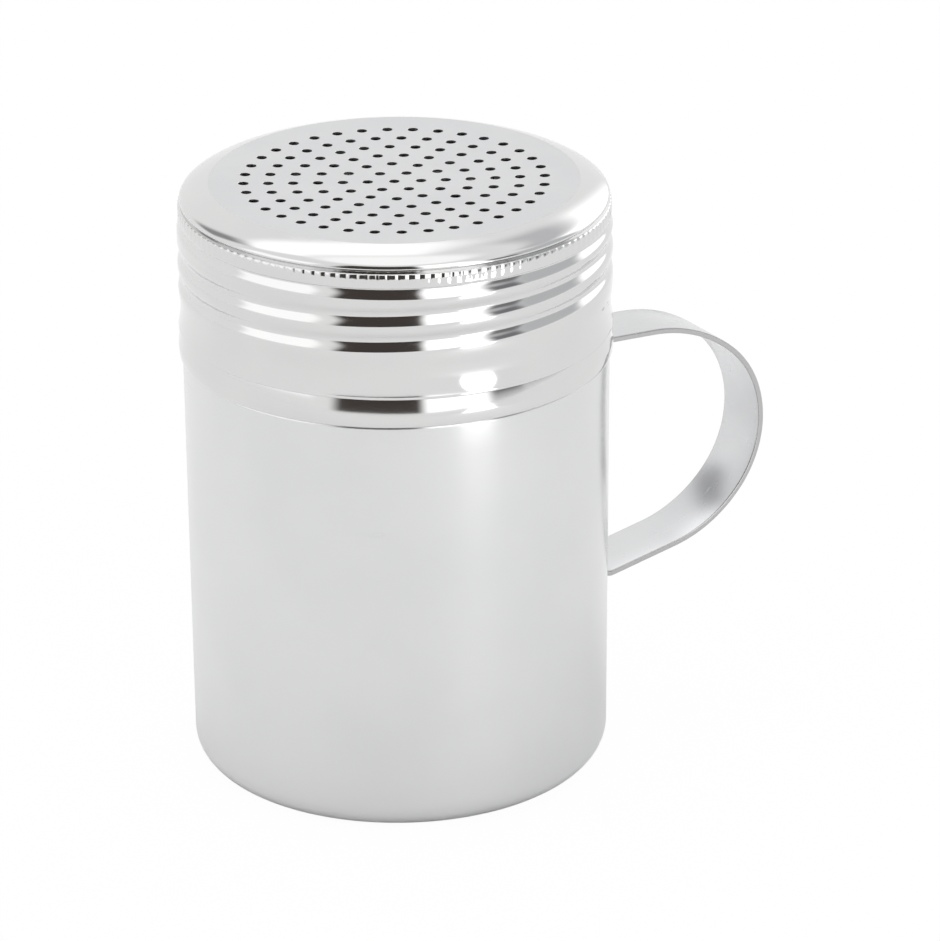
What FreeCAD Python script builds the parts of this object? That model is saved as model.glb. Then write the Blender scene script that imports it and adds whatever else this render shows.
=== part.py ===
import FreeCAD, Part
import math
import os
import Sketcher

# Stainless dredge with a screw lid: a drawn can, a stamped and perforated lid, a strap handle.
# Millimetres, +Z up, origin at the centre of the base, handle along +X.

doc = FreeCAD.newDocument("SpiceShaker")

# Driving dimensions: alias, value, meaning
dimensions = [
    ("canRadius", 33.0, "outside radius of the can at its shoulder"),
    ("canHeight", 93.3, "base to the top of the curled rim"),
    ("canSheet", 0.45, "sheet of the can"),
    ("wallDraft", 0.33, "how much smaller the can's radius is at the base"),
    ("baseCorner", 4.5, "outside radius of the bottom corner"),
    ("neckDepth", 26.1, "rim top down to the shoulder where the neck starts"),
    ("neckStep", 1.05, "how far the neck is set in from the wall"),
    ("neckRise", 1.8, "height of the soft step from wall to neck"),
    ("rimCurl", 0.9, "outside radius of the curled rim"),
    ("threadPitch", 4.05, "rise of the screw thread per turn"),
    ("threadAzimuth", 59.2, "angle from the handle to the lower end of the lid's thread"),
    ("threadDrop", 4.6875, "rim top down to the upper end of the lid's thread"),
    ("lidThreadTurns", 2.25, "turns of thread rolled in the lid"),
    ("lidThreadWidth", 3.0, "width of the lid's thread outside"),
    ("canThreadFirst", 0.46, "turns from the lid thread's lower end to the can thread's"),
    ("canThreadTurns", 1.03, "turns of thread rolled in the can"),
    ("canThreadWidth", 2.0, "width of the can's thread at its foot"),
    ("canThreadHeight", 0.8, "height of the can's thread over the neck"),
    ("neckClearance", 0.5, "gap from the neck to the lid's thread"),
    ("bandClearance", 0.25, "gap from the can's thread to the lid's wall"),
    ("lidSheet", 0.4, "sheet of the lid"),
    ("lidDrop", 25.5, "rim top down to the lower edge of the lid's hem"),
    ("hemHeight", 4.4, "height of the rolled hem"),
    ("hemThickness", 0.6, "hem at its fullest"),
    ("hemEdge", 0.3, "hem at its two edges"),
    ("partGap", 0.05, "running gap between the hem and the lid"),
    ("ringDrop", 1.2, "rim top down to the top of the serrated ring"),
    ("ringHeight", 2.3, "height of the serrated ring"),
    ("ringStep", 0.35, "how far the serrated ring stands out from the groove under it"),
    ("grooveHeight", 0.35, "half the height of the groove over the serrated ring"),
    ("grooveDepth", 0.55, "depth of the groove over the serrated ring"),
    ("shoulderStep", 0.1, "how far the shoulder stands out past the groove under the ring"),
    ("discRise", 1.95, "rim top up to the edge of the perforated disc"),
    ("discRadius", 28.4, "perforated disc"),
    ("discDish", 0.45, "how far the disc's centre is sunk"),
    ("shoulderDrop", 1.15, "disc edge down to the shoulder's outer bend"),
    ("shoulderInset", 1.35, "shoulder's outer bend in from its widest"),
    ("shoulderBend", 1.7, "radius of the shoulder's outer bend"),
    ("shoulderCrown", 28.4, "radius of the shoulder's long crown"),
    ("holeDiameter", 1.6, "one perforation"),
    ("firstRing", 4.07, "radius of the first ring of holes"),
    ("ringPitch", 3.795, "distance from ring to ring of holes"),
    ("ringCount", 6, "rings of holes round the centre hole"),
    ("holeAzimuth", 31.7, "angle from the handle to the first hole of each ring"),
    ("toothCount", 132, "serrations round the ring"),
    ("toothDepth", 0.28, "depth of a serration"),
    ("toothWidth", 0.8, "width of a serration"),
    ("toothHeight", 1.5, "height of a serration"),
    ("strapWidth", 10.0, "width of the handle's strap"),
    ("strapThickness", 0.9, "thickness of the handle's strap"),
    ("handleReach", 66.0, "can's axis to the outside of the loop"),
    ("handleDrop", 4.1, "can's shoulder down to the top of the upper arm at the wall"),
    ("handleSpan", 41.15, "upper arm down to the lower arm at the wall"),
    ("loopDrop", 19.7, "upper arm at the wall down to the loop's centre"),
    ("loopRadius", 17.35, "outer bend of the loop"),
    ("upperBlend", 24.5, "bend from the upper arm into the loop"),
    ("lowerBlend", 21.5, "bend from the loop into the lower arm"),
    ("upperSlope", 3.0, "fall of the upper arm"),
    ("lowerSlope", 10.8, "rise of the lower arm"),
    ("upperBend", 1.45, "bend from the upper flange into its arm"),
    ("lowerBend", 1.3, "bend from the lower arm into its flange"),
    ("standOff", 2.5, "how far the lower bend stands off the wall"),
    ("leanHeight", 9.5, "height over which the lower flange leans in to the wall"),
    ("leanBend", 14.0, "bend where the lower flange meets the wall"),
    ("upperFlange", 14.0, "upper arm down to the free end of its flange"),
    ("lowerFlange", 24.0, "lower arm up to the free end of its flange"),
    ("weldDiameter", 4.0, "spot weld"),
    ("weldRise", 0.12, "how far a weld stands proud of its flange"),
    ("weldDepth", 0.3, "how far a weld reaches into the can's wall"),
    ("weldInset", 3.5, "free end of a flange to its first weld"),
    ("weldSpacing", 5.5, "first weld to the second"),
]

sheet = doc.addObject("Spreadsheet::Sheet", "Sizes")
for row, (alias, value, meaning) in enumerate(dimensions, start=1):
    sheet.set("A%d" % row, meaning)
    sheet.set("B%d" % row, str(value))
    sheet.setAlias("B%d" % row, alias)
doc.recompute()


class Size:
    """A length that knows its value and the expression that gives it."""

    def __init__(self, value, text):
        self.value = float(value)
        self.text = text

    def __add__(self, other):
        other = asSize(other)
        return Size(self.value + other.value, "(%s + %s)" % (self.text, other.text))

    def __sub__(self, other):
        other = asSize(other)
        return Size(self.value - other.value, "(%s - %s)" % (self.text, other.text))

    def __mul__(self, other):
        other = asSize(other)
        return Size(self.value * other.value, "(%s * %s)" % (self.text, other.text))

    def __truediv__(self, other):
        other = asSize(other)
        return Size(self.value / other.value, "(%s / %s)" % (self.text, other.text))

    def __neg__(self):
        return Size(-self.value, "(-1 * %s)" % self.text)


def asSize(number):
    return number if isinstance(number, Size) else Size(number, repr(float(number)))


def tanOf(angle):
    return Size(math.tan(math.radians(angle.value)), "tan(%s * 1deg)" % angle.text)


def arcRadius(width, height):
    """Radius of the arc that is this wide and this high."""
    return (width * width * 0.25 + height * height) / (height * 2)


sizes = {alias: Size(sheet.get(alias), "Sizes." + alias) for alias, value, meaning in dimensions}


def size(alias):
    return sizes[alias]


zero = Size(0, "0")

# Levels and radii that several pieces share
shoulderLevel = size("canHeight") - size("neckDepth")
neckRadius = size("canRadius") - size("neckStep")
canCrest = neckRadius + size("canThreadHeight")
grooveInside = neckRadius + size("neckClearance")
grooveRadius = grooveInside + size("lidSheet")
bandInside = canCrest + size("bandClearance")
bandRadius = bandInside + size("lidSheet")
threadStart = size("canHeight") - size("threadDrop") - size("threadPitch") * size("lidThreadTurns")
hemBottom = size("canHeight") - size("lidDrop")
hemTop = hemBottom + size("hemHeight")
discEdge = size("canHeight") + size("discRise")
strapMiddle = size("canRadius") + size("strapThickness") * 0.5
armLevel = shoulderLevel - size("handleDrop") - size("strapThickness") * 0.5
lowLevel = armLevel - size("handleSpan")
upperEnd = armLevel - size("upperFlange")
lowerEnd = lowLevel + size("lowerFlange")


def newBody(label):
    body = doc.addObject("PartDesign::Body", label)
    body.Label = label
    return body


def originPart(body, role):
    return [feature for feature in body.Origin.OriginFeatures if feature.Role == role][0]


def newSketch(body, name, role):
    sketch = body.newObject("Sketcher::SketchObject", name)
    sketch.AttachmentSupport = [(originPart(body, role), "")]
    sketch.MapMode = "FlatFace"
    return sketch


def constrain(sketch, bound, *terms):
    """Add one dimension to a sketch and bind it to its expression."""
    index = sketch.addConstraint(Sketcher.Constraint(*terms, bound.value))
    sketch.setExpression("Constraints[%d]" % index, bound.text)


def pinPoint(sketch, edge, end, x, y):
    """Hold one end of an edge at a place given by two sizes."""
    if abs(x.value) < 1e-9:
        sketch.addConstraint(Sketcher.Constraint("PointOnObject", edge, end, -2))
    else:
        constrain(sketch, x, "DistanceX", -1, 1, edge, end)
    if abs(y.value) < 1e-9:
        sketch.addConstraint(Sketcher.Constraint("PointOnObject", edge, end, -1))
    else:
        constrain(sketch, y, "DistanceY", -1, 1, edge, end)


def arcBetween(start, end, radius, side):
    """Short arc from start to end; side 1 turns left on the way, -1 turns right."""
    chord = end - start
    half = chord.Length / 2
    offset = math.sqrt(max(radius * radius - half * half, 0))
    left = FreeCAD.Vector(-chord.y, chord.x, 0).normalize()
    centre = (start + end) * 0.5 + left * offset * side
    angles = [math.atan2(p.y - centre.y, p.x - centre.x) for p in (start, end)]
    if side < 0:
        angles.reverse()
    circle = Part.Circle(centre, FreeCAD.Vector(0, 0, 1), radius)
    return Part.ArcOfCircle(circle, angles[0], angles[1])


def closedOutline(sketch, corners):
    """Closed outline. A corner is (x, y) or (x, y, radius, side): the arc leads to the next one."""
    points = [FreeCAD.Vector(corner[0].value, corner[1].value, 0) for corner in corners]
    ends = []
    for index, corner in enumerate(corners):
        start = points[index]
        end = points[(index + 1) % len(points)]
        if len(corner) == 2:
            edge = sketch.addGeometry(Part.LineSegment(start, end))
            ends.append((edge, 1, 2))
        else:
            radius, side = corner[2], corner[3]
            edge = sketch.addGeometry(arcBetween(start, end, radius.value, side))
            ends.append((edge, 1, 2) if side > 0 else (edge, 2, 1))
    for index, (edge, first, last) in enumerate(ends):
        following, start, unused = ends[(index + 1) % len(ends)]
        sketch.addConstraint(Sketcher.Constraint("Coincident", edge, last, following, start))
    for index, corner in enumerate(corners):
        edge, first, last = ends[index]
        pinPoint(sketch, edge, first, corner[0], corner[1])
        if len(corner) > 2:
            constrain(sketch, corner[2], "Radius", edge)


def revolve(body, sketch):
    feature = body.newObject("PartDesign::Revolution", "Turned")
    feature.Profile = sketch
    feature.ReferenceAxis = (sketch, ["V_Axis"])
    feature.Angle = 360
    body.Tip = feature
    return feature


def coil(body, kind, sketch, turns):
    """Sweep a section along the screw thread, adding to the sheet or taking from it."""
    feature = body.newObject("PartDesign::%sHelix" % kind, kind + "Thread")
    feature.Profile = sketch
    feature.ReferenceAxis = (sketch, ["V_Axis"])
    feature.Mode = 1
    feature.LeftHanded = False
    feature.setExpression("Pitch", size("threadPitch").text)
    feature.setExpression("Turns", turns.text)
    body.Tip = feature
    return feature


def threadSection(body, name, azimuth, foot, tip, width, level):
    """Round section of a thread in the plane at this azimuth, foot and tip given as radii."""
    sketch = newSketch(body, name, "XZ_Plane")
    upright = FreeCAD.Vector(0, 1, 0)
    sketch.AttachmentOffset = FreeCAD.Placement(FreeCAD.Vector(), FreeCAD.Rotation(upright, 1))
    sketch.setExpression("AttachmentOffset.Rotation.Angle", azimuth.text)
    outward = tip.value > foot.value
    height = tip - foot if outward else foot - tip
    low = level - width * 0.5
    high = level + width * 0.5
    corners = [(foot, low), (foot, high)]
    ends = [FreeCAD.Vector(x.value, y.value, 0) for x, y in corners]
    radius = arcRadius(width, height)
    arc = sketch.addGeometry(arcBetween(ends[0], ends[1], radius.value, 1 if outward else -1))
    line = sketch.addGeometry(Part.LineSegment(ends[1], ends[0]))
    first, last = (1, 2) if outward else (2, 1)
    sketch.addConstraint(Sketcher.Constraint("Coincident", arc, last, line, 1))
    sketch.addConstraint(Sketcher.Constraint("Coincident", line, 2, arc, first))
    pinPoint(sketch, line, 1, foot, high)
    pinPoint(sketch, line, 2, foot, low)
    constrain(sketch, radius, "Radius", arc)
    return sketch


def makeCan():
    """Drawn can: wall with a slight draft, set-in neck with a rolled thread, curled rim."""
    body = newBody("can")
    radius, sheetSize = size("canRadius"), size("canSheet")
    lowRadius = radius - size("wallDraft")
    corner, curl = size("baseCorner"), size("rimCurl")
    top, rise = size("canHeight"), size("neckRise")
    insideCurl = curl - sheetSize
    middle = radius - size("neckStep") * 0.5
    stepBend = arcRadius(rise, size("neckStep") * 0.5)
    outline = newSketch(body, "WallSection", "XZ_Plane")
    closedOutline(outline, [
        (zero, zero),
        (lowRadius - corner, zero, corner, 1),
        (lowRadius, corner),
        (radius, shoulderLevel, stepBend, 1),
        (middle, shoulderLevel + rise * 0.5, stepBend, -1),
        (neckRadius, shoulderLevel + rise),
        (neckRadius, top - curl, curl, 1),
        (neckRadius - curl, top, curl, 1),
        (neckRadius - curl * 2, top - curl),
        (neckRadius - curl * 2 + sheetSize, top - curl, insideCurl, -1),
        (neckRadius - curl, top - sheetSize, insideCurl, -1),
        (neckRadius - sheetSize, top - curl),
        (neckRadius - sheetSize, shoulderLevel + rise, stepBend, 1),
        (middle - sheetSize, shoulderLevel + rise * 0.5, stepBend, -1),
        (radius - sheetSize, shoulderLevel),
        (lowRadius - sheetSize, corner, corner - sheetSize, -1),
        (lowRadius - corner, sheetSize),
        (zero, sheetSize),
    ])
    revolve(body, outline)
    first = size("canThreadFirst")
    azimuth = size("threadAzimuth") + first * 360
    level = threadStart + size("threadPitch") * (first + 0.5)
    turns = size("canThreadTurns")
    width = size("canThreadWidth")
    outside = threadSection(body, "RidgeSection", azimuth, neckRadius - sheetSize * 0.5,
                            canCrest, width, level)
    coil(body, "Additive", outside, turns)
    inside = threadSection(body, "HollowSection", azimuth, neckRadius - sheetSize * 1.2,
                           canCrest - sheetSize, width - sheetSize * 1.6, level)
    coil(body, "Subtractive", inside, turns)
    return body


def makeLid():
    """Stamped lid: rolled thread, serrated grip ring, polished shoulder and perforated disc."""
    body = newBody("lid")
    sheetSize = size("lidSheet")
    low = hemTop + size("partGap")
    ringTop = size("canHeight") - size("ringDrop")
    ringLow = ringTop - size("ringHeight")
    ringRadius = grooveRadius + size("ringStep")
    notchRadius = ringRadius - size("grooveDepth")
    notchLevel = ringTop + size("grooveHeight")
    shoulderRadius = grooveRadius + size("shoulderStep")
    shoulderLow = notchLevel + size("grooveHeight")
    bendLevel = discEdge - size("shoulderDrop")
    bendRadius = shoulderRadius - size("shoulderInset")
    depth = bandRadius - grooveRadius
    width = size("lidThreadWidth")
    outsideArc = arcRadius(width, depth)
    insideArc = outsideArc + sheetSize
    insideWidth = width * (insideArc / outsideArc)
    bend, crown, disc = size("shoulderBend"), size("shoulderCrown"), size("discRadius")
    outline = newSketch(body, "SheetSection", "XZ_Plane")
    closedOutline(outline, [
        (bandRadius - sheetSize * 0.5, low),
        (bandRadius, low + sheetSize),
        (bandRadius, ringLow - width * 0.5, outsideArc, -1),
        (grooveRadius, ringLow),
        (ringRadius, ringLow + sheetSize * 0.5),
        (ringRadius, ringTop),
        (notchRadius, notchLevel),
        (shoulderRadius, shoulderLow, bend, 1),
        (bendRadius, bendLevel, crown, 1),
        (disc, discEdge),
        (zero, discEdge - size("discDish")),
        (zero, discEdge - size("discDish") - sheetSize),
        (disc, discEdge - sheetSize, crown, -1),
        (bendRadius - sheetSize * 0.3, bendLevel - sheetSize, bend - sheetSize, -1),
        (shoulderRadius - sheetSize, shoulderLow),
        (notchRadius - sheetSize, notchLevel),
        (ringRadius - sheetSize, ringTop - sheetSize * 0.5),
        (ringRadius - sheetSize, ringLow + sheetSize * 1.2),
        (grooveInside, ringLow + sheetSize * 0.7),
        (grooveInside, ringLow),
        (bandInside, ringLow - insideWidth * 0.5),
        (bandInside, low),
    ])
    revolve(body, outline)
    azimuth, turns = size("threadAzimuth"), size("lidThreadTurns")
    inside = threadSection(body, "RidgeSection", azimuth, bandInside + sheetSize * 0.25,
                           grooveInside, insideWidth, threadStart)
    coil(body, "Additive", inside, turns)
    outside = threadSection(body, "GrooveSection", azimuth, bandRadius + sheetSize * 0.25,
                            grooveRadius, width + sheetSize * 0.5, threadStart)
    coil(body, "Subtractive", outside, turns)
    serrate(body, ringRadius, ringTop)
    perforate(body)
    return body


def perforate(body):
    """Rings of holes round a centre hole, six more holes in each ring."""
    radius = size("holeDiameter") * 0.5
    above = 1
    upright = FreeCAD.Vector(0, 0, 1)
    for ring in range(int(size("ringCount").value) + 1):
        sketch = newSketch(body, "HoleRing%d" % ring, "XY_Plane")
        sketch.AttachmentOffset = FreeCAD.Placement(upright, FreeCAD.Rotation(upright, 1))
        sketch.setExpression("AttachmentOffset.Base.z", (discEdge + above).text)
        sketch.setExpression("AttachmentOffset.Rotation.Angle", size("holeAzimuth").text)
        away = size("firstRing") + size("ringPitch") * (ring - 1) if ring else zero
        circle = Part.Circle(FreeCAD.Vector(away.value, 0, 0), upright, radius.value)
        edge = sketch.addGeometry(circle)
        pinPoint(sketch, edge, 3, away, zero)
        constrain(sketch, radius, "Radius", edge)
        hole = body.newObject("PartDesign::Pocket", "Hole%d" % ring)
        hole.Profile = sketch
        hole.setExpression("Length", (size("discDish") + size("lidSheet") + above * 2).text)
        body.Tip = hole
        if ring:
            repeatRound(body, hole, str(6 * ring))


def serrate(body, ringRadius, ringTop):
    """Short upright notches round the grip ring, open to the groove above it."""
    sketch = newSketch(body, "ToothSection", "XY_Plane")
    sketch.AttachmentOffset = FreeCAD.Placement(FreeCAD.Vector(0, 0, 1), FreeCAD.Rotation())
    sketch.setExpression("AttachmentOffset.Base.z", (ringTop - size("toothHeight")).text)
    outside = ringRadius + size("toothDepth")
    closedOutline(sketch, [
        (ringRadius - size("toothDepth"), zero),
        (outside, -size("toothWidth")),
        (outside, size("toothWidth")),
    ])
    notch = body.newObject("PartDesign::Pocket", "Tooth")
    notch.Profile = sketch
    notch.Reversed = True
    notch.setExpression("Length", (size("toothHeight") + size("grooveHeight")).text)
    body.Tip = notch
    repeatRound(body, notch, "Sizes.toothCount")


def repeatRound(body, feature, count):
    """Repeat a cut all the way round the upright axis; the count is an expression."""
    pattern = body.newObject("PartDesign::PolarPattern", feature.Name + "Round")
    pattern.Originals = [feature]
    pattern.Axis = (originPart(body, "Z_Axis"), [""])
    pattern.Angle = 360
    pattern.setExpression("Occurrences", count)
    body.Tip = pattern


def makeHem():
    """Rolled hem at the lid's lower edge."""
    body = newBody("lid_hem")
    edge = size("hemEdge")
    full = bandInside + size("hemThickness")
    bulge = arcRadius(size("hemHeight"), size("hemThickness") - edge)
    sketch = newSketch(body, "HemSection", "XZ_Plane")
    closedOutline(sketch, [
        (bandInside, hemBottom),
        (bandInside + edge, hemBottom, bulge, 1),
        (full, hemBottom + size("hemHeight") * 0.5, bulge, 1),
        (bandInside + edge, hemTop),
        (bandInside, hemTop),
    ])
    revolve(body, sketch)
    return body


def tangentCentre(centre, ownRadius, blendRadius, onLine, normal, side):
    """Centre of a wide bend that runs into a circle from a line: both lie inside of it."""
    gap = blendRadius - ownRadius
    reach = (centre - onLine).dot(normal)
    away = math.acos((blendRadius - reach) / gap)
    angle = math.atan2(normal.y, normal.x) + side * away
    return centre + FreeCAD.Vector(math.cos(angle), math.sin(angle), 0) * gap


def filletPoints(corner, back, ahead, radius):
    """Where a bend of this radius leaves two straight runs that meet at a corner."""
    half = back.getAngle(ahead) / 2
    length = radius / math.tan(half)
    bisector = (back + ahead).normalize()
    return corner + back * length, corner + ahead * length, corner + bisector * (radius / math.sin(half))


def arcAround(centre, start, end):
    """Arc that turns right from start to end about its centre."""
    radius = (start - centre).Length
    angles = [math.atan2(p.y - centre.y, p.x - centre.x) for p in (end, start)]
    return Part.ArcOfCircle(Part.Circle(centre, FreeCAD.Vector(0, 0, 1), radius), angles[0], angles[1])


def makeHandle():
    """Strap bent into a loop, both ends turned towards each other against the wall."""
    body = newBody("handle")
    thickness = size("strapThickness")
    loopLevel = armLevel - size("loopDrop")
    loopPlace = size("handleReach") - thickness * 0.5 - size("loopRadius")
    kneePlace = strapMiddle + size("standOff")
    kneeLevel = lowLevel + size("standOff") * tanOf(size("lowerSlope"))
    leanLevel = lowLevel + size("leanHeight")

    upperAngle = math.radians(size("upperSlope").value)
    lowerAngle = math.radians(size("lowerSlope").value)
    out = FreeCAD.Vector(math.cos(upperAngle), -math.sin(upperAngle), 0)
    outLow = FreeCAD.Vector(math.cos(lowerAngle), math.sin(lowerAngle), 0)
    up = FreeCAD.Vector(0, 1, 0)
    wallTop = FreeCAD.Vector(strapMiddle.value, armLevel.value, 0)
    wallLow = FreeCAD.Vector(strapMiddle.value, lowLevel.value, 0)
    centre = FreeCAD.Vector(loopPlace.value, loopLevel.value, 0)
    knee = FreeCAD.Vector(kneePlace.value, kneeLevel.value, 0)
    leanTop = FreeCAD.Vector(strapMiddle.value, leanLevel.value, 0)
    lean = (leanTop - knee).normalize()

    loop = size("loopRadius").value
    upperRadius, lowerRadius = size("upperBlend").value, size("lowerBlend").value
    below = FreeCAD.Vector(out.y, -out.x, 0)
    above = FreeCAD.Vector(-outLow.y, outLow.x, 0)
    upperCentre = tangentCentre(centre, loop, upperRadius, wallTop, below, -1)
    lowerCentre = tangentCentre(centre, loop, lowerRadius, wallLow, above, 1)
    upperStart = upperCentre - below * upperRadius
    loopStart = centre + (centre - upperCentre).normalize() * loop
    loopEnd = centre + (centre - lowerCentre).normalize() * loop
    lowerStart = lowerCentre - above * lowerRadius
    topBend = filletPoints(wallTop, up * -1, out, size("upperBend").value)
    lowBend = filletPoints(knee, outLow, lean, size("lowerBend").value)
    wallBend = filletPoints(leanTop, lean * -1, up, size("leanBend").value)
    freeLow = FreeCAD.Vector(strapMiddle.value, upperEnd.value, 0)
    freeTop = FreeCAD.Vector(strapMiddle.value, lowerEnd.value, 0)

    path = newSketch(body, "StrapLine", "XZ_Plane")
    runs = {
        "upperFlange": Part.LineSegment(freeLow, topBend[0]),
        "upperBend": arcAround(topBend[2], topBend[0], topBend[1]),
        "upperArm": Part.LineSegment(topBend[1], upperStart),
        "upperBlend": arcAround(upperCentre, upperStart, loopStart),
        "loopRadius": arcAround(centre, loopStart, loopEnd),
        "lowerBlend": arcAround(lowerCentre, loopEnd, lowerStart),
        "lowerArm": Part.LineSegment(lowerStart, lowBend[0]),
        "lowerBend": arcAround(lowBend[2], lowBend[0], lowBend[1]),
        "leaning": Part.LineSegment(lowBend[1], wallBend[0]),
        "leanBend": arcAround(wallBend[2], wallBend[0], wallBend[1]),
        "lowerFlange": Part.LineSegment(wallBend[1], freeTop),
    }
    edges = {name: path.addGeometry(run) for name, run in runs.items()}
    arcs = [name for name, run in runs.items() if isinstance(run, Part.ArcOfCircle)]
    names = list(edges)
    for one, other in zip(names[:-1], names[1:]):
        last = 1 if one in arcs else 2
        first = 2 if other in arcs else 1
        path.addConstraint(Sketcher.Constraint("Tangent", edges[one], last, edges[other], first))
    for name in arcs:
        constrain(path, size(name), "Radius", edges[name])
    for name in ("upperFlange", "lowerFlange"):
        path.addConstraint(Sketcher.Constraint("Vertical", edges[name]))
    pinPoint(path, edges["upperFlange"], 1, strapMiddle, upperEnd)
    pinPoint(path, edges["loopRadius"], 3, loopPlace, loopLevel)
    pinPoint(path, edges["lowerFlange"], 2, strapMiddle, lowerEnd)

    # The arms aim at their levels at the wall, the lower flange leans from the knee to the wall
    armPoint = armLevel - (loopPlace - strapMiddle) * tanOf(size("upperSlope"))
    markPoint(path, strapMiddle, armLevel, [edges["upperArm"]])
    markPoint(path, loopPlace, armPoint, [edges["upperArm"]])
    markPoint(path, kneePlace, kneeLevel, [edges["lowerArm"], edges["leaning"]])
    markPoint(path, strapMiddle, lowLevel, [edges["lowerArm"]])
    markPoint(path, strapMiddle, leanLevel, [edges["leaning"]])

    section = newSketch(body, "StrapSection", "XY_Plane")
    section.AttachmentOffset = FreeCAD.Placement(FreeCAD.Vector(0, 0, 1), FreeCAD.Rotation())
    section.setExpression("AttachmentOffset.Base.z", upperEnd.text)
    inner, outer = size("canRadius"), size("canRadius") + thickness
    half = size("strapWidth") * 0.5
    closedOutline(section, [(inner, -half), (outer, -half), (outer, half), (inner, half)])
    strap = body.newObject("PartDesign::AdditivePipe", "Strap")
    strap.Profile = section
    strap.Spine = (path, [])
    body.Tip = strap
    return body


def markPoint(sketch, x, y, lines):
    """Construction point at a known place, with lines made to pass through it."""
    place = FreeCAD.Vector(x.value, y.value, 0)
    mark = sketch.addGeometry(Part.Point(place), True)
    pinPoint(sketch, mark, 1, x, y)
    for line in lines:
        sketch.addConstraint(Sketcher.Constraint("PointOnObject", mark, 1, line))


def makeWelds():
    """Spot welds through both flanges into the can's wall."""
    body = newBody("spot_welds")
    sketch = newSketch(body, "WeldPlaces", "YZ_Plane")
    sketch.AttachmentOffset = FreeCAD.Placement(FreeCAD.Vector(0, 0, 1), FreeCAD.Rotation())
    sketch.setExpression("AttachmentOffset.Base.z", (size("canRadius") - size("weldDepth")).text)
    inset, spacing = size("weldInset"), size("weldSpacing")
    levels = [
        upperEnd + inset,
        upperEnd + inset + spacing,
        lowerEnd - inset,
        lowerEnd - inset - spacing,
    ]
    for level in levels:
        radius = size("weldDiameter") * 0.5
        centre = FreeCAD.Vector(0, level.value, 0)
        edge = sketch.addGeometry(Part.Circle(centre, FreeCAD.Vector(0, 0, 1), radius.value))
        pinPoint(sketch, edge, 3, zero, level)
        constrain(sketch, radius, "Radius", edge)
    welds = body.newObject("PartDesign::Pad", "Welds")
    welds.Profile = sketch
    length = size("weldDepth") + size("strapThickness") + size("weldRise")
    welds.setExpression("Length", length.text)
    welds.AllowMultiFace = True
    body.Tip = welds
    return body


def checkBuild(bodies):
    """Stop if a feature failed, a cut took nothing away, or a piece isn't a sound solid."""
    for feature in doc.Objects:
        if "Invalid" in feature.State or "Error" in feature.State:
            raise RuntimeError("%s failed: %s" % (feature.Label, feature.State))
        cuts = feature.isDerivedFrom("PartDesign::Pocket") or "Subtractive" in feature.TypeId
        if cuts and feature.Shape.Volume >= feature.BaseFeature.Shape.Volume:
            raise RuntimeError("%s cuts nothing" % feature.Label)
    for body in bodies:
        if body.Shape.isNull() or not body.Shape.isValid():
            raise RuntimeError("%s has no sound shape" % body.Label)
        print(body.Label, len(body.Shape.Solids), "solids", round(body.Shape.Volume, 1), "mm3")


bodies = [makeCan(), makeLid(), makeHem(), makeHandle(), makeWelds()]
doc.recompute()
checkBuild(bodies)
os.makedirs("parts", exist_ok=True)
for body in bodies:
    body.Shape.exportStep("parts/%s.step" % body.Label)
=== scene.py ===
import math
import bmesh
import bpy
from mathutils import Matrix, Vector


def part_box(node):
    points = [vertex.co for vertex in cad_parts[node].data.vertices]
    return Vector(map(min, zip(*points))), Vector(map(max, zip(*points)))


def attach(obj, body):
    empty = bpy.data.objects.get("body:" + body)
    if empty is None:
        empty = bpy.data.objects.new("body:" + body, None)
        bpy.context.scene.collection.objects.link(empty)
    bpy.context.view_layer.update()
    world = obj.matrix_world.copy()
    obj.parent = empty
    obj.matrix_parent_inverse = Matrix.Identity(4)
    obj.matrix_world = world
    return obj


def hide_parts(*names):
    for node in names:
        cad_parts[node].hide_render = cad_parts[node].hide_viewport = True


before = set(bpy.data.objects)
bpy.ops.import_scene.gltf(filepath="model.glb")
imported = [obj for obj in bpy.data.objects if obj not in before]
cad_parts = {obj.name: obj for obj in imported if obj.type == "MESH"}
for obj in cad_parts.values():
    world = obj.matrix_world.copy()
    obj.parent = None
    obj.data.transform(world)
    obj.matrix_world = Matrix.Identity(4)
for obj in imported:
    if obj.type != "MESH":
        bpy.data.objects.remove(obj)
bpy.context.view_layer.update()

# Stainless shaker: drawn can, strap handle, screw lid with a rolled thread, a serrated grip ring
# and a perforated disc. Metres, +Z up, handle along +X.
mm = 0.001
# Points of a section that are closer than this, in millimetres, are one point
samePoint = 0.0001
upAxis = Vector((0, 0, 1))
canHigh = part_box("can")[1]
lidLow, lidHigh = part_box("lid")
hemLow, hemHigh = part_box("lid_hem")


# Node helpers: a number is set on the socket, a socket is linked to it
def feed(tree, socket, value):
    if isinstance(value, bpy.types.NodeSocket):
        tree.links.new(value, socket)
    elif value is not None:
        socket.default_value = value


def calc(tree, operation, *values):
    node = tree.nodes.new("ShaderNodeMath")
    node.operation = operation
    for socket, value in zip(node.inputs, values):
        feed(tree, socket, value)
    return node.outputs[0]


def step(tree, kind, setup=None, **values):
    node = tree.nodes.new(kind)
    for name, value in (setup or {}).items():
        setattr(node, name, value)
    for name, value in values.items():
        feed(tree, node.inputs[name.replace("_", " ")], value)
    return node


# Maps a value from one range to 0..1 with soft ends
def fadeIn(tree, value, start, end):
    node = tree.nodes.new("ShaderNodeMapRange")
    node.interpolation_type = "SMOOTHSTEP"
    feed(tree, node.inputs["Value"], value)
    feed(tree, node.inputs["From Min"], start)
    feed(tree, node.inputs["From Max"], end)
    return node.outputs["Result"]


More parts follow.
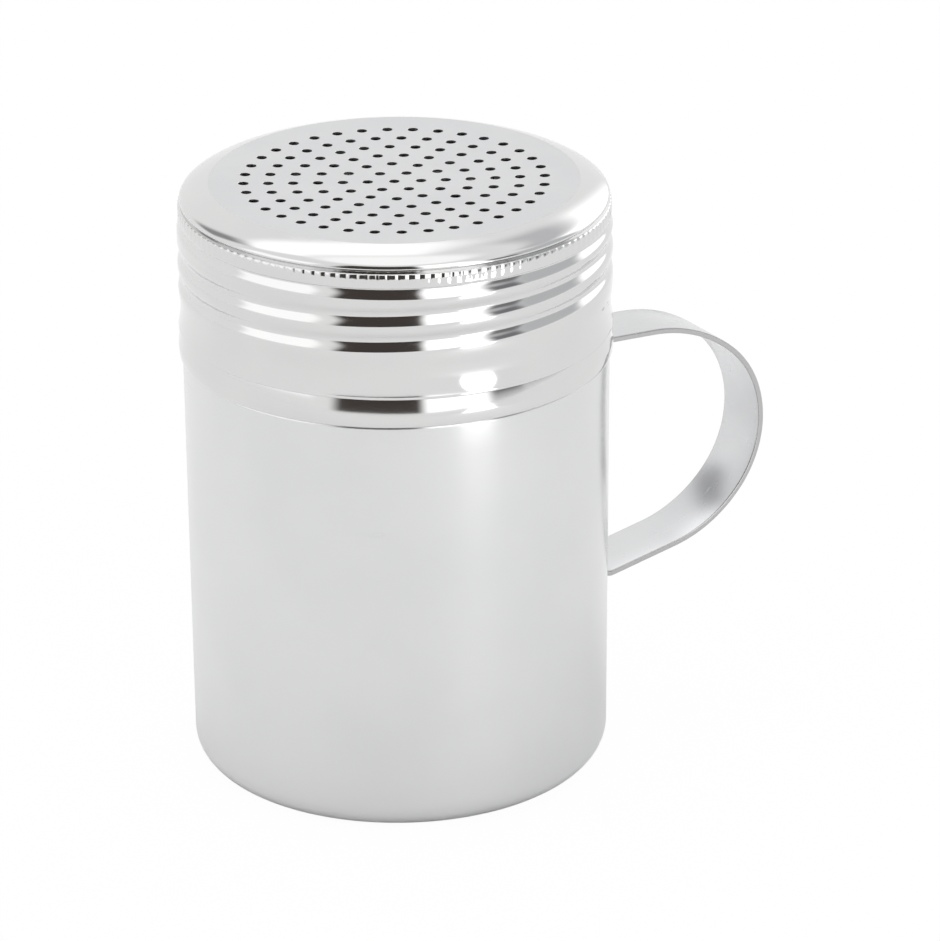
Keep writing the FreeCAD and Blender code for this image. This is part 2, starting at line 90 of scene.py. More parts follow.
# Geometry tree whose inputs are the sizes of a piece, in millimetres, counts or degrees
def newTree(name, sizes):
    tree = bpy.data.node_groups.new(name, "GeometryNodeTree")
    tree.interface.new_socket("Geometry", in_out="INPUT", socket_type="NodeSocketGeometry")
    tree.interface.new_socket("Finish", in_out="INPUT", socket_type="NodeSocketMaterial")
    for title, value in sizes.items():
        if isinstance(value, (int, float)):
            kind = "NodeSocketInt" if isinstance(value, int) else "NodeSocketFloat"
        else:
            kind = "NodeSocketObject"
        tree.interface.new_socket(title, in_out="INPUT", socket_type=kind)
    tree.interface.new_socket("Geometry", in_out="OUTPUT", socket_type="NodeSocketGeometry")
    entry = tree.nodes.new("NodeGroupInput").outputs
    return tree, entry


def endTree(tree, entry, geometry):
    real = step(tree, "GeometryNodeRealizeInstances", Geometry=geometry)
    coat = step(tree, "GeometryNodeSetMaterial", Geometry=real.outputs[0], Material=entry["Finish"])
    leave = tree.nodes.new("NodeGroupOutput")
    tree.links.new(coat.outputs[0], leave.inputs[0])


# Length input of a tree, turned from millimetres to metres
def length(tree, entry, title):
    return calc(tree, "MULTIPLY", entry[title], mm)


def newPiece(name, mesh):
    piece = bpy.data.objects.new(name, mesh)
    bpy.context.scene.collection.objects.link(piece)
    return piece


# Runs a tree on a piece, keeps the result as its plain mesh and drops the modifier
def runTree(piece, tree, finish, sizes):
    modifier = piece.modifiers.new(tree.name, "NODES")
    modifier.node_group = tree
    values = dict(sizes, Finish=finish)
    for socket in tree.interface.items_tree:
        if socket.in_out == "INPUT" and socket.name in values:
            modifier[socket.identifier] = values[socket.name]
    graph = bpy.context.evaluated_depsgraph_get()
    made = bpy.data.meshes.new_from_object(piece.evaluated_get(graph))
    piece.modifiers.remove(modifier)
    piece.data = made


def finishMesh(piece, material=None, sharpAngle=38, turnOut=False):
    mesh = piece.data
    if turnOut:
        edit = bmesh.new()
        edit.from_mesh(mesh)
        bmesh.ops.recalc_face_normals(edit, faces=edit.faces)
        edit.to_mesh(mesh)
        edit.free()
    if material:
        mesh.materials.clear()
        mesh.materials.append(material)
    mesh.shade_smooth()
    mesh.set_sharp_from_angle(angle=math.radians(sharpAngle))
    mesh.name = piece.name


# Section helpers: a section is a list of (radius, height) in millimetres
def arcPoints(centre, radius, start, end, steps):
    points = []
    for index in range(steps + 1):
        angle = math.radians(start + (end - start) * index / steps)
        points.append((centre[0] + radius * math.cos(angle), centre[1] + radius * math.sin(angle)))
    return points


def softPoints(start, end, steps, power=2.0):
    points = []
    for index in range(steps + 1):
        part = index / steps
        blend = part ** power / (part ** power + (1 - part) ** power)
        points.append((start[0] + (end[0] - start[0]) * blend, start[1] + (end[1] - start[1]) * part))
    return points


def straightPoints(start, end, gap):
    steps = max(1, math.ceil(math.dist(start, end) / gap))
    return [tuple(a + (b - a) * index / steps for a, b in zip(start, end)) for index in range(steps + 1)]


# Turns a section about Z. A point on the axis is a pole; a section without poles closes on itself
def latheMesh(name, section, columns):
    verts, rows, faces = [], [], []
    last = None
    for radius, height in section:
        if last and math.dist(last, (radius, height)) < samePoint:
            continue
        last = (radius, height)
        count = 1 if radius < samePoint else columns
        rows.append(range(len(verts), len(verts) + count))
        for column in range(count):
            turn = 2 * math.pi * column / columns
            verts.append((radius * mm * math.cos(turn), radius * mm * math.sin(turn), height * mm))
    pairs = list(zip(rows[:-1], rows[1:]))
    if len(rows[0]) > 1:
        pairs.append((rows[-1], rows[0]))
    for low, high in pairs:
        for column in range(columns):
            after = (column + 1) % columns
            ring = [low[column % len(low)], low[after % len(low)]]
            ring += [high[after % len(high)], high[column % len(high)]]
            faces.append(list(dict.fromkeys(ring)))
    mesh = bpy.data.meshes.new(name)
    mesh.from_pydata(verts, [], faces)
    return mesh


# Noise levels between which the cloudy tint, and the scratches, come in
cloudLevels = (0.35, 0.68)
scratchLevels = (0.62, 0.78)

# Steel finishes. Colours are linear, scales are in patterns per metre, bumps in metres
canLook = {
    "color": (0.728, 0.730, 0.732), "shade": (0.704, 0.707, 0.712), "mottle": 45.0,
    "roughness": 0.22, "roughSpread": 0.05, "anisotropy": 0.45, "quarterTurn": 0.25,
    "grain": (250.0, 250.0, 9000.0), "grainBump": 0.0000015, "wave": 60.0, "waveBump": 0.000004,
    "scratch": (90.0, 90.0, 700.0), "scratchDepth": 0.05,
}
lidLook = {
    "color": (0.700, 0.698, 0.694), "shade": (0.680, 0.680, 0.680), "mottle": 60.0,
    "roughness": 0.085, "roughSpread": 0.03, "anisotropy": 0.0,
    "grain": (400.0, 400.0, 7000.0), "grainBump": 0.0000003, "wave": 170.0, "waveBump": 0.000010,
    "scratch": (120.0, 120.0, 900.0), "scratchDepth": 0.05,
}
discLook = {
    "color": (0.680, 0.683, 0.689), "shade": (0.652, 0.656, 0.664), "mottle": 70.0,
    "roughness": 0.30, "roughSpread": 0.05, "anisotropy": 0.0,
    "grain": (5200.0, 5200.0, 5200.0), "grainBump": 0.0000015, "wave": 90.0, "waveBump": 0.000004,
    "scratch": (300.0, 60.0, 300.0), "scratchDepth": 0.04,
}


def steelFinish(name, look, grainSpace=None):
    material = bpy.data.materials.new(name)
    material.use_nodes = True
    tree = material.node_tree
    shader = tree.nodes["Principled BSDF"]
    shader.inputs["Metallic"].default_value = 1.0
    shader.inputs["Anisotropic"].default_value = look["anisotropy"]
    place = tree.nodes.new("ShaderNodeTexCoord").outputs["Object"]
    if look["anisotropy"]:
        shader.inputs["Anisotropic Rotation"].default_value = look["quarterTurn"]
        around = step(tree, "ShaderNodeTangent", {"direction_type": "RADIAL", "axis": "Z"})
        tree.links.new(around.outputs[0], shader.inputs["Tangent"])

    # Cloudy tint of the sheet
    cloud = step(tree, "ShaderNodeTexNoise", Vector=place, Scale=look["mottle"], Detail=3.0, Roughness=0.55)
    tint = step(tree, "ShaderNodeMix", {"data_type": "RGBA"})
    feed(tree, tint.inputs["Factor"], fadeIn(tree, cloud.outputs[0], *cloudLevels))
    feed(tree, tint.inputs["A"], (*look["color"], 1.0))
    feed(tree, tint.inputs["B"], (*look["shade"], 1.0))
    color = tint.outputs["Result"]

    # Edges of a strap are darker than its faces: painted shade for the edges turned from the light, together
    # with the duller tone of a sheared edge
    if "edge" in look:
        across = step(tree, "ShaderNodeSeparateXYZ", Vector=place).outputs["Y"]
        start, end = look["edge"]
        cut = fadeIn(tree, calc(tree, "ABSOLUTE", across), start * mm, end * mm)
        shearedAndShaded = step(tree, "ShaderNodeMix", {"data_type": "RGBA"})
        feed(tree, shearedAndShaded.inputs["Factor"], cut)
        feed(tree, shearedAndShaded.inputs["A"], color)
        feed(tree, shearedAndShaded.inputs["B"], (*look["edgeColor"], 1.0))
        color = shearedAndShaded.outputs["Result"]
    tree.links.new(color, shader.inputs["Base Color"])

    # Polishing grain, long one way and fine the other
    space = grainSpace(tree, place) if grainSpace else place
    run = step(tree, "ShaderNodeMapping", Vector=space, Scale=look["grain"])
    grain = step(tree, "ShaderNodeTexNoise", Vector=run.outputs[0], Scale=1.0, Detail=4.0, Roughness=0.6)
    rub = step(tree, "ShaderNodeMapping", Vector=space, Scale=look["scratch"])
    scratch = step(tree, "ShaderNodeTexNoise", Vector=rub.outputs[0], Scale=1.0, Detail=2.0, Roughness=0.5)
    marks = fadeIn(tree, scratch.outputs[0], *scratchLevels)
    rough = calc(tree, "MULTIPLY_ADD", grain.outputs[0], look["roughSpread"],
                 look["roughness"] - look["roughSpread"] / 2)
    rough = calc(tree, "MULTIPLY_ADD", marks, look["scratchDepth"], rough)
    tree.links.new(rough, shader.inputs["Roughness"])

    # The sheet is never quite even
    swell = step(tree, "ShaderNodeTexNoise", Vector=place, Scale=look["wave"], Detail=1.0, Roughness=0.4)
    fine = step(tree, "ShaderNodeBump", Height=grain.outputs[0], Strength=1.0, Distance=look["grainBump"])
    wide = step(tree, "ShaderNodeBump", Height=swell.outputs[0], Strength=1.0, Distance=look["waveBump"],
                Normal=fine.outputs[0])
    tree.links.new(wide.outputs[0], shader.inputs["Normal"])
    return material


canSteel = steelFinish("canSteel", canLook)
lidSteel = steelFinish("lidSteel", lidLook)
discSteel = steelFinish("discSteel", discLook)
print("steel finishes made")

canSizes = {
    "radius": canHigh.y / mm, "sheet": 0.45, "draft": 0.33, "corner": 4.5, "neckBottom": 67.2,
    "neckStep": 1.05, "neckRise": 1.8, "curl": 0.9, "top": canHigh.z / mm, "columns": 288,
    "threadBottom": 80.0, "threadTop": 91.0, "rowGap": 0.2, "middle": 4.0, "curlTurn": 200.0,
    "steps": {"corner": 14, "bend": 10, "curl": 16, "curlInside": 12, "bendInside": 8, "cornerInside": 10},
    "gaps": {"base": 4, "wall": 5, "neck": 2, "wallInside": 8, "baseInside": 6},
}
canThread = {
    "Pitch": 4.05, "Start Level": 83.39, "Start Azimuth": 224.8, "Turns": 1.03, "Run Out": 0.05,
    "Half Width": 1.25, "Depth": 0.8, "Sharpness": 0.85, "Level Ring": 0.0,
    "Top": canSizes["threadTop"], "Bottom": canSizes["threadBottom"],
}
# Softness of the place where the coil of a thread meets the level ring
threadBlend = 0.12


# The rolled thread of the can and of the lid: one tree moves a turned wall in or out along a helix
def threadTree():
    tree, entry = newTree("RolledThread", canThread)
    spot = step(tree, "GeometryNodeInputPosition").outputs[0]
    axes = step(tree, "ShaderNodeSeparateXYZ", Vector=spot)
    x, y, z = axes.outputs
    height = calc(tree, "DIVIDE", z, mm)
    angle = calc(tree, "SUBTRACT", calc(tree, "ARCTAN2", y, x), calc(tree, "RADIANS", entry["Start Azimuth"]))
    turn = calc(tree, "FRACT", calc(tree, "DIVIDE", angle, 2 * math.pi))
    rise = calc(tree, "DIVIDE", calc(tree, "SUBTRACT", height, entry["Start Level"]), entry["Pitch"])
    whole = calc(tree, "ROUND", calc(tree, "SUBTRACT", rise, turn))
    along = calc(tree, "ADD", whole, turn)
    away = calc(tree, "ABSOLUTE", calc(tree, "MULTIPLY", calc(tree, "SUBTRACT", rise, along), entry["Pitch"]))
    enter = fadeIn(tree, along, 0.0, entry["Run Out"])
    leave = fadeIn(tree, calc(tree, "SUBTRACT", entry["Turns"], along), 0.0, entry["Run Out"])
    level = calc(tree, "ABSOLUTE", calc(tree, "SUBTRACT", height, entry["Level Ring"]))

    # Swelling of the sheet at this distance from the middle of a turn
    def swell(distance):
        part = calc(tree, "SUBTRACT", 1.0, calc(tree, "DIVIDE", distance, entry["Half Width"]))
        part = calc(tree, "POWER", calc(tree, "MAXIMUM", part, 0.0), entry["Sharpness"])
        wave = calc(tree, "SINE", calc(tree, "MULTIPLY", part, math.pi / 2))
        return calc(tree, "MULTIPLY", wave, wave)

    coil = calc(tree, "MULTIPLY", swell(away), calc(tree, "MULTIPLY", enter, leave))
    both = calc(tree, "SMOOTH_MAX", coil, swell(level), threadBlend)
    inside = calc(tree, "MULTIPLY", calc(tree, "LESS_THAN", height, entry["Top"]),
                  calc(tree, "GREATER_THAN", height, entry["Bottom"]))
    shift = calc(tree, "MULTIPLY", calc(tree, "MULTIPLY", both, inside), length(tree, entry, "Depth"))
    flat = step(tree, "ShaderNodeCombineXYZ", X=x, Y=y, Z=0.0)
    outward = step(tree, "ShaderNodeVectorMath", {"operation": "NORMALIZE"})
    tree.links.new(flat.outputs[0], outward.inputs[0])
    offset = step(tree, "ShaderNodeVectorMath", {"operation": "SCALE"}, Scale=shift)
    tree.links.new(outward.outputs[0], offset.inputs[0])
    moved = step(tree, "GeometryNodeSetPosition", Geometry=entry["Geometry"], Offset=offset.outputs[0])
    endTree(tree, entry, moved.outputs[0])
    return tree


rolledThread = threadTree()


def makeCan():
    s, steps, gaps = canSizes, canSizes["steps"], canSizes["gaps"]
    low = s["radius"] - s["draft"]
    neck = s["radius"] - s["neckStep"]
    rise, bend = s["neckRise"], s["sheet"]
    curlMiddle = (neck - s["curl"], s["top"] - s["curl"])
    outside = [(0, 0)] + straightPoints((s["middle"], 0), (low - s["corner"], 0), gaps["base"])
    outside += arcPoints((low - s["corner"], s["corner"]), s["corner"], -90, 0, steps["corner"])
    outside += straightPoints((low, s["corner"]), (s["radius"], s["neckBottom"]), gaps["wall"])
    outside += softPoints((s["radius"], s["neckBottom"]), (neck, s["neckBottom"] + rise), steps["bend"])
    outside += straightPoints((neck, s["neckBottom"] + rise), (neck, s["threadBottom"]), gaps["neck"])
    outside += straightPoints((neck, s["threadBottom"]), (neck, s["threadTop"]), s["rowGap"])
    outside += arcPoints(curlMiddle, s["curl"], 0, s["curlTurn"], steps["curl"])
    inside = arcPoints(curlMiddle, s["curl"] - bend, s["curlTurn"], 0, steps["curlInside"])
    inside += straightPoints((neck - bend, s["threadTop"]), (neck - bend, s["threadBottom"]), s["rowGap"] * 2)
    inside += softPoints((neck - bend, s["neckBottom"] + rise), (s["radius"] - bend, s["neckBottom"]),
                         steps["bendInside"])
    inside += straightPoints((s["radius"] - bend, s["neckBottom"]), (low - bend, s["corner"]),
                             gaps["wallInside"])
    inside += arcPoints((low - s["corner"], s["corner"]), s["corner"] - bend, 0, -90, steps["cornerInside"])
    inside += straightPoints((low - s["corner"], bend), (s["middle"], bend), gaps["baseInside"]) + [(0, bend)]
    piece = newPiece("can_shell", latheMesh("can_shell", outside + inside, s["columns"]))
    runTree(piece, rolledThread, canSteel, canThread)
    finishMesh(piece, turnOut=True)
    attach(piece, "can")
    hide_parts("can")
    return piece


can = makeCan()
print("can made: %d faces" % len(can.data.polygons))

lidSizes = {
    "sheet": 0.4, "low": lidLow.z / mm, "bandRadius": 33.15, "bandMiddle": 76.0, "flare": 0.37,
    "lip": 0.22, "crest": 33.45, "crestLevel": 79.4, "ringLow": 89.8, "ringTop": 92.1, "seat": 32.65,
    "notchLevel": 92.45, "shoulderRadius": 32.95, "shoulderLow": 92.75, "discRadius": 28.4,
    "discEdge": lidHigh.z / mm, "edgeSlope": 15.0, "shoulderPower": 2.35, "columns": 288, "rowGap": 0.14,
    "crestPower": 1.6, "ease": 0.1, "grooveEase": 0.03, "shoulderEase": 0.12, "seatRise": 0.3,
    "steps": {"lip": 6, "flare": 14, "crest": 24, "shoulder": 36, "shoulderInside": 20, "crestInside": 10},
}
lidThread = {
    "Pitch": 4.05, "Start Level": 79.5, "Start Azimuth": 59.2, "Turns": 2.25, "Run Out": 0.1,
    "Half Width": 2.025, "Depth": -0.62, "Sharpness": 1.25, "Level Ring": lidSizes["ringLow"],
    "Top": 89.82, "Bottom": 77.0,
}


# Rounded shoulder from the groove up to the disc, steep outside and nearly flat inside
def shoulderPoints(s, inset, steps):
    points = []
    width = s["shoulderRadius"] - s["discRadius"]
    tilt = math.tan(math.radians(s["edgeSlope"]))
    height = s["discEdge"] - s["shoulderLow"] - width * tilt
    for index in range(steps + 1):
        turn = math.pi / 2 * index / steps
        across = math.cos(turn) ** (2 / s["shoulderPower"])
        up = math.sin(turn) ** (2 / s["shoulderPower"])
        radius = s["discRadius"] + width * across
        level = s["shoulderLow"] + height * up + (width - width * across) * tilt
        points.append((radius - inset * across, level - inset * up))
    return points


def makeLidWall():
    s, steps = lidSizes, lidSizes["steps"]
    sheet, lip, low = s["sheet"], s["lip"], s["low"]
    edge = s["bandRadius"] + s["flare"]
    outside = [(edge - sheet, low)]
    outside += arcPoints((edge - lip, low + lip), lip, -90, 0, steps["lip"])
    bandTop = s["bandMiddle"]
    for index in range(1, steps["flare"] + 1):
        part = 1 - index / steps["flare"]
        outside.append((s["bandRadius"] + s["flare"] * part ** 2, bandTop - (bandTop - low - lip) * part))
    outside += softPoints((s["bandRadius"], bandTop), (s["crest"], s["crestLevel"]),
                          steps["crest"], s["crestPower"])
    outside += straightPoints((s["crest"], s["crestLevel"]), (s["crest"], s["ringLow"]), s["rowGap"])
    outside += [(s["seat"], s["ringLow"] + s["ease"]), (s["seat"], s["notchLevel"] - s["ease"])]
    outside.append((s["seat"] + s["grooveEase"], s["notchLevel"]))
    outside.append((s["shoulderRadius"] - s["shoulderEase"], s["shoulderLow"] - s["shoulderEase"]))
    outside += shoulderPoints(s, 0, steps["shoulder"])
    inner = s["crest"] - sheet
    inside = shoulderPoints(s, sheet, steps["shoulderInside"])[::-1]
    inside += [(s["seat"] - sheet, s["notchLevel"]), (s["seat"] - sheet, s["ringLow"] + s["seatRise"])]
    inside += straightPoints((inner, s["ringLow"]), (inner, s["crestLevel"]), s["rowGap"] * 2)
    inside += softPoints((inner, s["crestLevel"]), (s["bandRadius"] - sheet, bandTop),
                         steps["crestInside"], s["crestPower"])
    inside.append((s["bandRadius"] - sheet + s["flare"] / 4, (bandTop + low) / 2))
    piece = newPiece("lid_wall", latheMesh("lid_wall", outside + inside, s["columns"]))
    runTree(piece, rolledThread, lidSteel, lidThread)
    finishMesh(piece, turnOut=True)
    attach(piece, "lid")
    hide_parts("lid")
    return piece


lidWall = makeLidWall()
print("lid wall made: %d faces" % len(lidWall.data.polygons))

discSizes = {
    "Ring Count": 6, "Ring Step": 6, "First Ring": 4.07, "Ring Pitch": 3.795, "Hole Azimuth": 31.7,
    "Hole Radius": 0.80, "Burr": 0.10, "Hole Sides": 22,
    "Disc Radius": lidSizes["discRadius"], "Disc Edge": lidSizes["discEdge"],
    "Sheet": lidSizes["sheet"], "Dish": 0.45, "Rim Sides": 144, "Rim Rings": 18,
}


# Perforated disc: rings of punches cut through a plate, which is then dished
def punchedTree():
    tree, entry = newTree("PunchedDisc", discSizes)
    around = calc(tree, "RADIANS", entry["Hole Azimuth"])
    first, last = tree.nodes.new("GeometryNodeRepeatInput"), tree.nodes.new("GeometryNodeRepeatOutput")
    first.pair_with_output(last)
    feed(tree, first.inputs["Iterations"], entry["Ring Count"])
    ring = first.outputs["Iteration"]
    count = calc(tree, "MULTIPLY", calc(tree, "ADD", ring, 1.0), entry["Ring Step"])
    reach = calc(tree, "MULTIPLY_ADD", ring, length(tree, entry, "Ring Pitch"),
                 length(tree, entry, "First Ring"))
    circle = step(tree, "GeometryNodeMeshCircle", Vertices=count, Radius=reach)
    together = tree.nodes.new("GeometryNodeJoinGeometry")
    tree.links.new(first.outputs["Geometry"], together.inputs[0])
    tree.links.new(circle.outputs[0], together.inputs[0])
    tree.links.new(together.outputs[0], last.inputs["Geometry"])
    centre = step(tree, "GeometryNodeMeshLine", Count=1)
    places = tree.nodes.new("GeometryNodeJoinGeometry")
    tree.links.new(centre.outputs[0], places.inputs[0])
    tree.links.new(last.outputs["Geometry"], places.inputs[0])

    # A punch cuts straight through, with a small rounding at the upper face
    radius = length(tree, entry, "Hole Radius")
    burr = length(tree, entry, "Burr")
    sheet = length(tree, entry, "Sheet")
    stem = step(tree, "GeometryNodeMeshCylinder", Vertices=entry["Hole Sides"], Radius=radius,
                Depth=calc(tree, "MULTIPLY", sheet, 3.0))
    flare = step(tree, "GeometryNodeMeshCone", Vertices=entry["Hole Sides"],
                 Radius_Top=calc(tree, "MULTIPLY_ADD", burr, 1.5, radius),
                 Radius_Bottom=calc(tree, "MULTIPLY_ADD", burr, -0.5, radius),
                 Depth=calc(tree, "MULTIPLY", burr, 2.0))
    lift = calc(tree, "SUBTRACT", calc(tree, "MULTIPLY", sheet, 0.5), burr)
    raised = step(tree, "GeometryNodeTransform", Geometry=flare.outputs[0],
                  Translation=step(tree, "ShaderNodeCombineXYZ", Z=lift).outputs[0])
    punch = step(tree, "GeometryNodeMeshBoolean", {"operation": "UNION", "solver": "EXACT"})
    tree.links.new(stem.outputs[0], punch.inputs["Mesh 2"])
    tree.links.new(raised.outputs[0], punch.inputs["Mesh 2"])
    punches = step(tree, "GeometryNodeInstanceOnPoints", Points=places.outputs[0], Instance=punch.outputs[0])
    turned = step(tree, "GeometryNodeTransform", Geometry=punches.outputs[0],
                  Rotation=step(tree, "ShaderNodeCombineXYZ", Z=around).outputs[0])
    solid = step(tree, "GeometryNodeRealizeInstances", Geometry=turned.outputs[0])
    plate = step(tree, "GeometryNodeMeshCylinder", Vertices=entry["Rim Sides"],
                 Fill_Segments=entry["Rim Rings"], Radius=length(tree, entry, "Disc Radius"), Depth=sheet)
    cut = step(tree, "GeometryNodeMeshBoolean", {"operation": "DIFFERENCE", "solver": "EXACT"})
    tree.links.new(plate.outputs[0], cut.inputs["Mesh 1"])
    tree.links.new(solid.outputs[0], cut.inputs["Mesh 2"])

    # Dished: lowest at the centre, up to the disc's edge at the rim
    axes = step(tree, "ShaderNodeSeparateXYZ", Vector=step(tree, "GeometryNodeInputPosition").outputs[0])
    square = calc(tree, "ADD", calc(tree, "MULTIPLY", axes.outputs[0], axes.outputs[0]),
                  calc(tree, "MULTIPLY", axes.outputs[1], axes.outputs[1]))
    rim = length(tree, entry, "Disc Radius")
    share = calc(tree, "SUBTRACT", calc(tree, "DIVIDE", square, calc(tree, "MULTIPLY", rim, rim)), 1.0)
    level = calc(tree, "SUBTRACT", length(tree, entry, "Disc Edge"), calc(tree, "MULTIPLY", sheet, 0.5))
    drop = calc(tree, "MULTIPLY_ADD", share, length(tree, entry, "Dish"), level)
    dished = step(tree, "GeometryNodeSetPosition", Geometry=cut.outputs[0],
                  Offset=step(tree, "ShaderNodeCombineXYZ", Z=drop).outputs[0])
    endTree(tree, entry, dished.outputs[0])
    return tree


def makeDisc():
    piece = newPiece("lid_disc", bpy.data.meshes.new("lid_disc"))
    runTree(piece, punchedTree(), discSteel, discSizes)
    finishMesh(piece, sharpAngle=30)
    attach(piece, "lid")
    return piece


disc = makeDisc()
print("perforated disc made: %d faces" % len(disc.data.polygons))

gripSizes = {"Tooth Count": 132, "Merge": 0.004}
toothSizes = {
    "inner": lidSizes["seat"] - 0.06, "outer": 33.2, "low": lidSizes["ringLow"] + 0.03,
    "top": lidSizes["ringTop"] + 0.05, "edge": 0.14, "depth": 0.10, "footStart": 90.35, "footEnd": 90.85,
    "across": (-0.5, -0.25, -0.13, 0.0, 0.13, 0.25, 0.5), "notch": (0.0, 0.0, 0.75, 1.0, 0.75, 0.0, 0.0),
    "faceEnd": 1.6, "bevelDrop": 0.3, "bevelWidth": 2.4, "bevelNotch": 0.7, "topNotch": 0.3,
}


# One tooth's share of the ring, open at both sides where the next ones join it. A point of its section is
# radius, height and the share of the notch's depth there
def toothCell(count):
    s = toothSizes
    edge = s["edge"]
    section = [
        (s["inner"], s["low"], 0), (s["outer"] - edge, s["low"], 0), (s["outer"], s["low"] + edge, 0),
        (s["outer"], s["footStart"], 0), (s["outer"], s["footEnd"], 1),
        (s["outer"], s["top"] - edge * s["faceEnd"], 1),
        (s["outer"] - edge, s["top"] - edge * s["bevelDrop"], s["bevelNotch"]),
        (s["outer"] - edge * s["bevelWidth"], s["top"], s["topNotch"]),
        (s["inner"], s["top"], 0),
    ]
    cell = 2 * math.pi / count
    width = len(s["across"])
    verts = []
    for radius, height, share in section:
        for place, notch in zip(s["across"], s["notch"]):
            reach = (radius - s["depth"] * notch * share) * mm
            verts.append((reach * math.cos(place * cell), reach * math.sin(place * cell), height * mm))
    faces = []
    for row in range(len(section)):
        after = (row + 1) % len(section)
        for column in range(width - 1):
            low, high = row * width + column, after * width + column
            faces.append((low, low + 1, high + 1, high))
    mesh = bpy.data.meshes.new("tooth")
    mesh.from_pydata(verts, [], faces)
    return newPiece("tooth", mesh)


def gripTree():
    tree, entry = newTree("GripRing", dict(gripSizes, Tooth=None))
    count = entry["Tooth Count"]
    model = step(tree, "GeometryNodeObjectInfo", Object=entry["Tooth"])
    places = step(tree, "GeometryNodeMeshLine", Count=count, Offset=(0.0, 0.0, 0.0))
    number = step(tree, "GeometryNodeInputIndex").outputs[0]
    turn = calc(tree, "MULTIPLY", calc(tree, "DIVIDE", number, count), 2 * math.pi)
    teeth = step(tree, "GeometryNodeInstanceOnPoints", Points=places.outputs[0],
                 Instance=model.outputs["Geometry"],
                 Rotation=step(tree, "ShaderNodeCombineXYZ", Z=turn).outputs[0])
    solid = step(tree, "GeometryNodeRealizeInstances", Geometry=teeth.outputs[0])
    ring = step(tree, "GeometryNodeMergeByDistance", Geometry=solid.outputs[0],
                Distance=length(tree, entry, "Merge"))
    endTree(tree, entry, ring.outputs[0])
    return tree


def makeGripRing():
    tooth = toothCell(gripSizes["Tooth Count"])
    piece = newPiece("grip_ring", bpy.data.meshes.new("grip_ring"))
    runTree(piece, gripTree(), lidSteel, dict(gripSizes, Tooth=tooth))
    bpy.data.objects.remove(tooth)
    finishMesh(piece, sharpAngle=50, turnOut=True)
    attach(piece, "lid")
    return piece


gripRing = makeGripRing()
print("grip ring made: %d faces" % len(gripRing.data.polygons))

hemSizes = {
    "inner": 33.0, "full": 33.58, "low": hemLow.z / mm, "top": hemHigh.z / mm, "crown": 69.6,
    "topRadius": 33.0, "lowRadius": 33.28, "topPower": 1.12, "lowPower": 2.6, "columns": 288,
    "lowSteps": 12, "topSteps": 20,
}


def makeHem():
    s = hemSizes
    outside = [(s["inner"], s["low"])]
    for index in range(s["lowSteps"] + 1):
        turn = math.pi / 2 * (1 - index / s["lowSteps"])
        radius = s["lowRadius"] + (s["full"] - s["lowRadius"]) * math.cos(turn) ** (2 / s["lowPower"])
        outside.append((radius, s["crown"] - (s["crown"] - s["low"]) * math.sin(turn) ** (2 / s["lowPower"])))
    for index in range(1, s["topSteps"] + 1):
        turn = math.pi / 2 * index / s["topSteps"]
        radius = s["topRadius"] + (s["full"] - s["topRadius"]) * math.cos(turn) ** (2 / s["topPower"])
        outside.append((radius, s["crown"] + (s["top"] - s["crown"]) * math.sin(turn) ** (2 / s["topPower"])))
    outside.append((s["inner"], s["top"]))
    piece = newPiece("hem_bead", latheMesh("hem_bead", outside, s["columns"]))
    finishMesh(piece, lidSteel, turnOut=True)
    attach(piece, "hem")
    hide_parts("lid_hem")
    return piece


hem = makeHem()
print("hem made: %d faces" % len(hem.data.polygons))

# Strap of the handle, in millimetres and degrees, from the upper flange's free end to the lower one's
strapSizes = {
    "Width": 10.0, "Thickness": 0.9, "Edge": 0.2, "Wall": 33.0, "Flange Reach": 1.2, "Arm Reach": 6.0,
}
# A bend has a point at least every so many degrees
bendStep = 3.0
strapStart = {"x": 33.45, "z": 48.65, "heading": 90.0}
strapRuns = [
    ("upper flange", 12.47, 0.0), ("upper bend", 1.45, -93.0), ("upper arm", 9.79, 0.0),
    ("into the loop", 24.5, -38.47), ("loop", 17.35, -88.06), ("out of the loop", 21.5, -39.67),
    ("lower arm", 12.11, 0.0), ("knee", 1.3, -85.34), ("leaning in", 6.27, 0.0),
    ("on to the wall", 14.0, -15.46), ("lower flange", 12.6, 0.0),
]
strapLook = {
    "color": (0.690, 0.694, 0.701), "shade": (0.650, 0.654, 0.662), "mottle": 60.0,
    "roughness": 0.26, "roughSpread": 0.06, "anisotropy": 0.0,
    "grain": (120.0, 6500.0, 1.0), "grainBump": 0.0000015, "wave": 120.0, "waveBump": 0.000006,
    "scratch": (260.0, 900.0, 1.0), "scratchDepth": 0.09,
    # Darker band along both edges of the strap: painted shade, partly the sheared edge's own duller tone
    "edge": (4.70, 4.90), "edgeColor": (0.50, 0.50, 0.50),
}


# Pattern space of the strap: how far along it, and how far across
def strapSpace(tree, place):
    run = tree.nodes.new("ShaderNodeAttribute")
    run.attribute_name = "strapRun"
    across = step(tree, "ShaderNodeSeparateXYZ", Vector=place).outputs["Y"]
    return step(tree, "ShaderNodeCombineXYZ", X=run.outputs["Fac"], Y=across).outputs[0]


strapSteel = steelFinish("strapSteel", strapLook, strapSpace)


# Middle line of the strap: a run is straight over its length, or a bend of that radius and angle
def strapLine():
    x, z, heading = strapStart["x"], strapStart["z"], strapStart["heading"]
    points = [(x * mm, 0, z * mm)]
    for _, size, bend in strapRuns:
        steps = math.ceil(abs(bend) / bendStep) if bend else math.ceil(size)
        turn = bend / steps
        gap = 2 * size * math.sin(math.radians(abs(turn)) / 2) if bend else size / steps
        for index in range(steps):
            heading += turn / 2
            x += gap * math.cos(math.radians(heading))
            z += gap * math.sin(math.radians(heading))
            heading += turn / 2
            points.append((x * mm, 0, z * mm))
    mesh = bpy.data.meshes.new("strap_line")
    mesh.from_pydata(points, [(index, index + 1) for index in range(len(points) - 1)], [])
    return mesh


